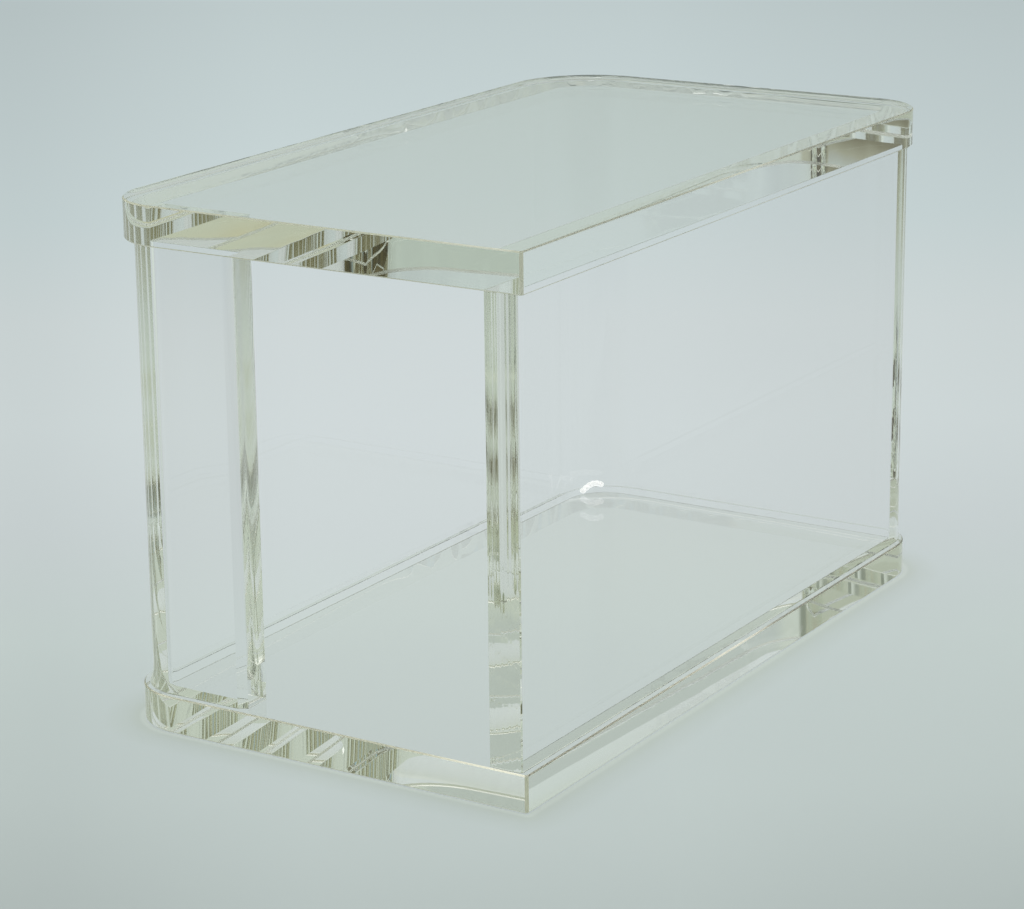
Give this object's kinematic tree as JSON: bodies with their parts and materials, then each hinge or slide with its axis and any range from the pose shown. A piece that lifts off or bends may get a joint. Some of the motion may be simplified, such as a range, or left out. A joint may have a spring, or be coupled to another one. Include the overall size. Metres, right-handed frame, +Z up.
{
  "type": "open-front acrylic case",
  "caption": "Clear thick-walled display case: a bent sheet wall with a short front return, between a base plate and a matching top plate, open at the front.",
  "frame": {"origin": "middle of the base plate's underside, on the surface the case stands on", "axes": "+Z up, +Y from the open front towards the back, +X to the right seen from the front"},
  "size_m": [0.1, 0.181, 0.111],
  "materials": {
    "clear_acrylic": "clear cast acrylic with polished faces and edges"
  },
  "bodies": {
    "root": {"base_plate": "clear_acrylic", "wall_sheet": "clear_acrylic", "top_plate": "clear_acrylic"}
  },
  "joints": []
}
